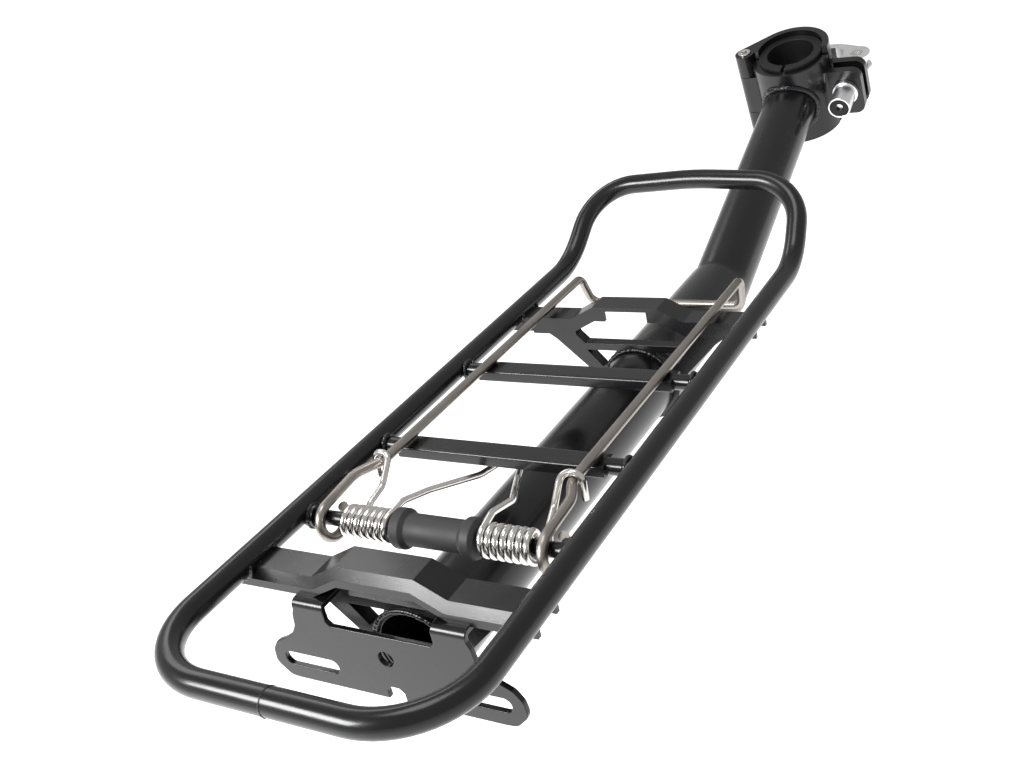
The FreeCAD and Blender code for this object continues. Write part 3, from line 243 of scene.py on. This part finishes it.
def finished(node, material, edge=0.0):
    """A welded-up copy of a CAD node, its sharp edges rounded when an edge width is given, standing
    for that node.
    """
    source = frame["nodes"][node]
    mesh = source.data.copy()
    mesh.name = node + "_skin"
    mesh.materials.clear()
    mesh.materials.append(material)
    if "custom_normal" in mesh.attributes:
        mesh.attributes.remove(mesh.attributes["custom_normal"])
    shell = bmesh.new()
    shell.from_mesh(mesh)
    bmesh.ops.remove_doubles(shell, verts=shell.verts, dist=2e-6)
    if edge:
        bmesh.ops.dissolve_limit(shell, angle_limit=math.radians(0.6), verts=shell.verts,
                                 edges=shell.edges, delimit=set())
    bmesh.ops.recalc_face_normals(shell, faces=shell.faces)
    for side in shell.edges:
        side.smooth = True
    for face in shell.faces:
        face.material_index = 0
        face.smooth = True
    shell.to_mesh(mesh)
    shell.free()
    piece = bpy.data.objects.new(node + "_finished", mesh)
    scene.collection.objects.link(piece)
    if edge:
        soft = piece.modifiers.new("soft_edges", "BEVEL")
        soft.width, soft.segments = edge, 3
        soft.limit_method, soft.angle_limit = "ANGLE", math.radians(20)
        soft.use_clamp_overlap = True
        flats = piece.modifiers.new("flat_faces", "WEIGHTED_NORMAL")
        flats.mode, flats.weight, flats.keep_sharp = "FACE_AREA", 90, True
        ready = baked(piece)
        piece.modifiers.clear()
        piece.data = ready
        ready.name = node + "_skin"
    else:
        mesh.set_sharp_from_angle(angle=math.radians(30))
    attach(piece, source["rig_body"])
    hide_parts(node)
    return piece


# --------------------------------------------------------------------------
# Beam and stem: a straight steel tube with a bent tube plugged into its
# front end; both are drawn tube, so only the beam's cut ends are rounded
# --------------------------------------------------------------------------
finished("lower_beam", black_paint, 0.0003)
finished("upper_stem", black_paint, 0.0)

# --------------------------------------------------------------------------
# Platform loop: one bent steel rod that makes both rails, the rear end and
# the raised front hoop; the bends are smooth and have no edges to round
# --------------------------------------------------------------------------
finished("platform_loop", black_paint, 0.0)

# --------------------------------------------------------------------------
# Crossbars, brackets, trusses and rear plate: flat bar, folded sheet and cut
# plate under one coat of paint, which rounds every folded or sheared edge
# --------------------------------------------------------------------------
finished("rear_crossbar", black_paint, 0.0)
finished("front_crossbar", black_paint, 0.0)
for pressed in ("rear_bracket", "front_bracket", "rear_truss", "front_truss", "reflector_plate"):
    finished(pressed, black_paint, 0.00045)
finished("rod_bosses", black_paint, 0.0003)
finished("pivot_rod", black_paint, 0.0)

# --------------------------------------------------------------------------
# Weld beads: overlapping puddles laid along each joint before painting.  A
# node tree walks a seam and drops one long puddle every pitch.
# --------------------------------------------------------------------------
def bead_tree():
    """Geometry nodes that turn a seam's edges into a row of overlapping puddles."""
    tree = bpy.data.node_groups.new("weld_bead", "GeometryNodeTree")
    tree.interface.new_socket(name="Seam", in_out="INPUT", socket_type="NodeSocketGeometry")
    for socket, start in (("Pitch", 0.0014), ("Width", 0.0013), ("Length", 0.0019)):
        made = tree.interface.new_socket(name=socket, in_out="INPUT", socket_type="NodeSocketFloat")
        made.default_value = start
    tree.interface.new_socket(name="Seed", in_out="INPUT", socket_type="NodeSocketInt")
    tree.interface.new_socket(name="Paint", in_out="INPUT", socket_type="NodeSocketMaterial")
    tree.interface.new_socket(name="Bead", in_out="OUTPUT", socket_type="NodeSocketGeometry")
    entry, leave = tree.nodes.new("NodeGroupInput"), tree.nodes.new("NodeGroupOutput")
    route = tree.nodes.new("GeometryNodeMeshToCurve")
    steps = tree.nodes.new("GeometryNodeCurveToPoints")
    steps.mode = "LENGTH"
    puddle = tree.nodes.new("GeometryNodeMeshIcoSphere")
    puddle.inputs["Radius"].default_value = 1.0
    puddle.inputs["Subdivisions"].default_value = 3
    shape = tree.nodes.new("ShaderNodeCombineXYZ")
    uneven = tree.nodes.new("FunctionNodeRandomValue")
    uneven.data_type = "FLOAT"
    uneven.inputs[2].default_value, uneven.inputs[3].default_value = 0.78, 1.15
    scaled = tree.nodes.new("ShaderNodeVectorMath")
    scaled.operation = "SCALE"
    drop = tree.nodes.new("GeometryNodeInstanceOnPoints")
    real = tree.nodes.new("GeometryNodeRealizeInstances")
    smooth = tree.nodes.new("GeometryNodeSetShadeSmooth")
    painted = tree.nodes.new("GeometryNodeSetMaterial")
    join = tree.links.new
    join(entry.outputs["Seam"], route.inputs["Mesh"])
    join(route.outputs["Curve"], steps.inputs["Curve"])
    join(entry.outputs["Pitch"], steps.inputs["Length"])
    join(steps.outputs["Points"], drop.inputs["Points"])
    join(steps.outputs["Rotation"], drop.inputs["Rotation"])
    join(puddle.outputs["Mesh"], drop.inputs["Instance"])
    join(entry.outputs["Width"], shape.inputs["X"])
    join(entry.outputs["Width"], shape.inputs["Y"])
    join(entry.outputs["Length"], shape.inputs["Z"])
    join(entry.outputs["Seed"], uneven.inputs["Seed"])
    join(shape.outputs["Vector"], scaled.inputs[0])
    join(uneven.outputs[1], scaled.inputs["Scale"])
    join(scaled.outputs["Vector"], drop.inputs["Scale"])
    join(drop.outputs["Instances"], real.inputs["Geometry"])
    join(real.outputs["Geometry"], smooth.inputs["Geometry"])
    join(smooth.outputs["Geometry"], painted.inputs["Geometry"])
    join(entry.outputs["Paint"], painted.inputs["Material"])
    join(painted.outputs["Geometry"], leave.inputs["Bead"])
    return tree


weld_bead = bead_tree()


def weld(name, seams, pitch=0.0014, width=0.0013, length=0.0019, seed=1):
    """Lay beads along seams, each a list of points in metres, as one painted piece of the frame."""
    path = bpy.data.meshes.new(name)
    points, edges = [], []
    for seam in seams:
        first = len(points)
        points += [tuple(point) for point in seam]
        edges += [(first + i, first + i + 1) for i in range(len(seam) - 1)]
    path.from_pydata(points, edges, [])
    piece = bpy.data.objects.new(name, path)
    scene.collection.objects.link(piece)
    layer = piece.modifiers.new("beads", "NODES")
    layer.node_group = weld_bead
    keys = {item.name: item.identifier for item in weld_bead.interface.items_tree
            if item.item_type == "SOCKET" and item.in_out == "INPUT"}
    for socket, setting in (("Pitch", pitch), ("Width", width), ("Length", length), ("Seed", seed),
                            ("Paint", black_paint)):
        layer[keys[socket]] = setting
    ready = baked(piece)
    piece.modifiers.clear()
    piece.data = ready
    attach(piece, "frame")
    return piece


def ring_about(centre, normal, radius, start=0.0, sweep=360.0, steps=48):
    """Points round a circle, in the plane square to normal."""
    normal = Vector(normal).normalized()
    side = normal.cross(Vector((0, 0, 1)) if abs(normal.z) < 0.9 else Vector((1, 0, 0))).normalized()
    up = side.cross(normal)
    turns = [math.radians(start + sweep * i / steps) for i in range(steps + 1)]
    return [Vector(centre) + side * math.cos(a) * radius + up * math.sin(a) * radius for a in turns]


rail_radius = 0.0055
rail_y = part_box("platform_loop")[1].y - rail_radius
rail_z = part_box("platform_loop")[0].z + rail_radius
neck_welds = []
for bar in ("rear_crossbar", "front_crossbar"):
    low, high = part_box(bar)
    middle = ((low.x + high.x) / 2, 0.0, (low.z + high.z) / 2)
    for side in (-1, 1):
        neck_welds.append(ring_about((middle[0], side * (rail_y - rail_radius - 0.0006), middle[2]),
                                     (0, 1, 0), 0.0042))
weld("crossbar_welds", neck_welds, seed=3)

# The bent rod closes on itself in the middle of the rear end with a dressed butt weld
loop_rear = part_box("platform_loop")[0].x + rail_radius
weld("loop_seam", [ring_about((loop_rear, 0.0, rail_z), (0, 1, 0), rail_radius - 0.0002)],
     pitch=0.0008, width=0.0005, length=0.0008, seed=17)

low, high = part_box("pivot_rod")
boss_x, boss_z = (low.x + high.x) / 2, (low.z + high.z) / 2
boss_welds = [ring_about((boss_x, side * (rail_y - rail_radius + 0.0003), boss_z), (0, 1, 0), 0.0048)
              for side in (-1, 1)]
weld("boss_welds", boss_welds, width=0.0011, seed=5)

end_welds = []
for bracket in ("rear_bracket", "front_bracket"):
    low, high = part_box(bracket)
    for side in (-1, 1):
        for x in (low.x + 0.0004, high.x - 0.0004):
            end_welds.append([Vector((x, side * (rail_y - rail_radius * math.cos(math.radians(t))),
                                      rail_z - rail_radius * math.sin(math.radians(t))))
                              for t in range(8, 80, 8)])
weld("bracket_welds", end_welds, seed=7)

beam_radius = 0.01905
collar_welds = []
for truss in ("rear_truss", "front_truss"):
    low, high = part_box(truss)
    beam_low, beam_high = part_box("lower_beam")
    beam_z = (beam_low.z + beam_high.z) / 2
    for x in (low.x, high.x):
        collar_welds.append(ring_about((x, 0.0, beam_z), (1, 0, 0), beam_radius + 0.0008, 15.0, 150.0))
weld("truss_welds", collar_welds, seed=11)

# Where the stem meets the clamp: the saddle line of a tube on a cylinder
stem_radius, clamp_radius = 0.0175, 0.0265
clamp_lean, stem_rise = math.radians(17.0), math.radians(21.0)
clamp_axis = Vector((-math.sin(clamp_lean), 0, math.cos(clamp_lean)))
stem_way = Vector((math.cos(stem_rise), 0, math.sin(stem_rise)))
stem_up = Vector((-math.sin(stem_rise), 0, math.cos(stem_rise)))
stem_foot = Vector((0, 0, -0.0017))


def saddle_point(angle, outward=0.0):
    """Where a line along the stem's skin meets the clamp's wall."""
    start = stem_foot + stem_up * math.cos(angle) * (stem_radius + outward)
    start += Vector((0, 1, 0)) * math.sin(angle) * (stem_radius + outward)
    flat = start - clamp_axis * start.dot(clamp_axis)
    along = stem_way - clamp_axis * stem_way.dot(clamp_axis)
    a, b, c = along.dot(along), 2 * flat.dot(along), flat.dot(flat) - (clamp_radius + 0.0002) ** 2
    return start + stem_way * ((-b - math.sqrt(b * b - 4 * a * c)) / (2 * a))


saddle = [saddle_point(math.radians(t), 0.0009) for t in range(0, 364, 4)]
weld("stem_weld", [saddle], width=0.0021, length=0.0040, pitch=0.0034, seed=13)

# --------------------------------------------------------------------------
# Seatpost clamp: two painted castings hinged on a bolt, with a split liner
# of moulded plastic between them; the saddle and nut insert are plastic too
# --------------------------------------------------------------------------
finished("clamp_body", black_paint, 0.0007)
finished("clamp_arm", black_paint, 0.0007)
liner_plastic = grained("liner_plastic", (0.006, 0.006, 0.0065), (0.011, 0.011, 0.012), fine=1600.0,
                        coarse=80.0, gloss=(0.42, 0.55), bump=0.2, depth=0.00006, specular=0.25)
finished("clamp_liner", liner_plastic, 0.0004)
finished("qr_cam_washer", liner_plastic, 0.0004)
finished("qr_nut_insert", liner_plastic, 0.0003)

# --------------------------------------------------------------------------
# Bright hardware: nickel-plated bolt, nut, washer, skewer and cam pin, and
# satin aluminium for the hand nut, its collar and the forged cam lever
# --------------------------------------------------------------------------
nickel = grained("nickel_plate", (0.62, 0.60, 0.57), (0.80, 0.78, 0.75), fine=1400.0, coarse=160.0,
                 gloss=(0.14, 0.26), bump=0.12, depth=0.00005, metallic=1.0)
for fastener in ("hinge_bolt", "hinge_nut", "hinge_washer", "qr_skewer", "qr_cam_pin"):
    finished(fastener, nickel, 0.0002)
aluminium = grained("satin_aluminium", (0.80, 0.80, 0.81), (0.92, 0.92, 0.93), fine=1200.0,
                    coarse=90.0, gloss=(0.24, 0.36), bump=0.12, depth=0.00005, metallic=1.0)
for turned_piece in ("qr_nut", "qr_nut_seat"):
    finished(turned_piece, aluminium, 0.0005)
finished("qr_lever", aluminium, 0.0010)

# --------------------------------------------------------------------------
# Spring trap: a bow of drawn stainless wire, a plated double torsion spring
# swept in its rest shape, and a moulded rubber sleeve round the rod
# --------------------------------------------------------------------------
drawn_steel = grained("drawn_stainless", (0.27, 0.245, 0.22), (0.40, 0.37, 0.34), fine=700.0,
                      coarse=60.0, stretch=(0.06, 1.0, 1.0), gloss=(0.28, 0.42), bump=0.18,
                      depth=0.00006, metallic=1.0)
finished("trap_bow", drawn_steel, 0.0)


def rounded(corners, radii):
    """A route through corners with an arc of the given radius at each inner one."""
    route = [corners[0]]
    for before, corner, after, radius in zip(corners, corners[1:], corners[2:], radii):
        into, out = (before - corner).normalized(), (after - corner).normalized()
        half = into.angle(out) / 2
        centre = corner + (into + out).normalized() * (radius / math.sin(half))
        first = corner + into * (radius / math.tan(half)) - centre
        last = corner + out * (radius / math.tan(half)) - centre
        route += [centre + first.slerp(last, i / 8) * radius for i in range(9)]
    return route + [corners[-1]]


def wire_piece(name, route, wire, material):
    """A round wire with closed ends swept along a route."""
    line = bpy.data.curves.new(name, "CURVE")
    line.dimensions = "3D"
    line.bevel_depth, line.bevel_resolution, line.use_fill_caps = wire / 2, 5, True
    strand = line.splines.new("POLY")
    strand.points.add(len(route) - 1)
    for point, place in zip(strand.points, route):
        point.co = (*place, 1.0)
    holder = bpy.data.objects.new(name + "_route", line)
    scene.collection.objects.link(holder)
    mesh = baked(holder)
    bpy.data.objects.remove(holder)
    shell = bmesh.new()
    shell.from_mesh(mesh)
    bmesh.ops.remove_doubles(shell, verts=shell.verts, dist=1e-6)
    bmesh.ops.recalc_face_normals(shell, faces=shell.faces)
    for face in shell.faces:
        face.smooth = True
    shell.to_mesh(mesh)
    shell.free()
    mesh.set_sharp_from_angle(angle=math.radians(50))
    mesh.materials.clear()
    mesh.materials.append(material)
    piece = bpy.data.objects.new(name, mesh)
    scene.collection.objects.link(piece)
    return piece


rod_low, rod_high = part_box("pivot_rod")
rod_x, rod_z = (rod_low.x + rod_high.x) / 2, (rod_low.z + rod_high.z) / 2
bar_low, bar_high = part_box("rear_crossbar")
spring_wire, coil_radius, coil_pitch, coil_turns = 0.0030, 0.00595, 0.0035, 6.5
bow_y, hook_reach = 0.0474, 0.0045
for side, sign, coil_start in (("left", 1, 0.0204), ("right", -1, 0.0250)):
    steps = round(coil_turns * 28)
    coil = []
    for i in range(steps + 1):
        turn_angle = 2 * math.pi * coil_turns * i / steps
        coil.append(Vector((rod_x - coil_radius * math.sin(turn_angle),
                            coil_start + coil_pitch * coil_turns * i / steps,
                            rod_z + coil_radius * math.cos(turn_angle))))
    bridge_x = bar_high.x + spring_wire
    bridge_z = (bar_low.z + bar_high.z) / 2 - 0.0028 - spring_wire * 1.5
    leaving = (coil[0] - coil[1]).normalized()
    ending = (coil[-1] - coil[-2]).normalized()
    inner = rounded([Vector((bridge_x, 0.0, bridge_z)), Vector((bridge_x, 0.0045, bridge_z)),
                     Vector((bar_low.x, 0.0095, bridge_z)),
                     Vector((rod_x + 0.026, coil_start - 0.002, rod_z + 0.0016)),
                     coil[0] + leaving * 0.009, coil[0]], [0.0034, 0.014, 0.010, 0.009])
    top = rod_z + 0.003 + 0.0047 + 0.00225 + spring_wire / 2 + 0.0002
    near, far = bow_y - hook_reach, bow_y + hook_reach
    outer = rounded([coil[-1], coil[-1] + ending * 0.007,
                     Vector((rod_x + 0.015, (coil[-1].y + near) / 2, rod_z - 0.0008)),
                     Vector((rod_x + 0.025, near, rod_z + 0.0014)), Vector((rod_x + 0.035, near, top)),
                     Vector((rod_x + 0.036, far, top)), Vector((rod_x + 0.035, far, rod_z - 0.0005))],
                    [0.005, 0.005, 0.006, 0.0043, 0.0043])
    route = [Vector((p.x, p.y * sign, p.z)) for p in inner[:-1] + coil + outer[1:]]
    half = wire_piece("spring_" + side, route, spring_wire, nickel)
    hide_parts("trap_spring")
    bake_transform(half)

grip_rubber = grained("grip_rubber", (0.015, 0.014, 0.015), (0.030, 0.028, 0.030), fine=1500.0,
                      coarse=70.0, gloss=(0.55, 0.72), bump=0.35, depth=0.00012)
finished("spring_sleeve", grip_rubber, 0.0004)

bpy.context.view_layer.update()
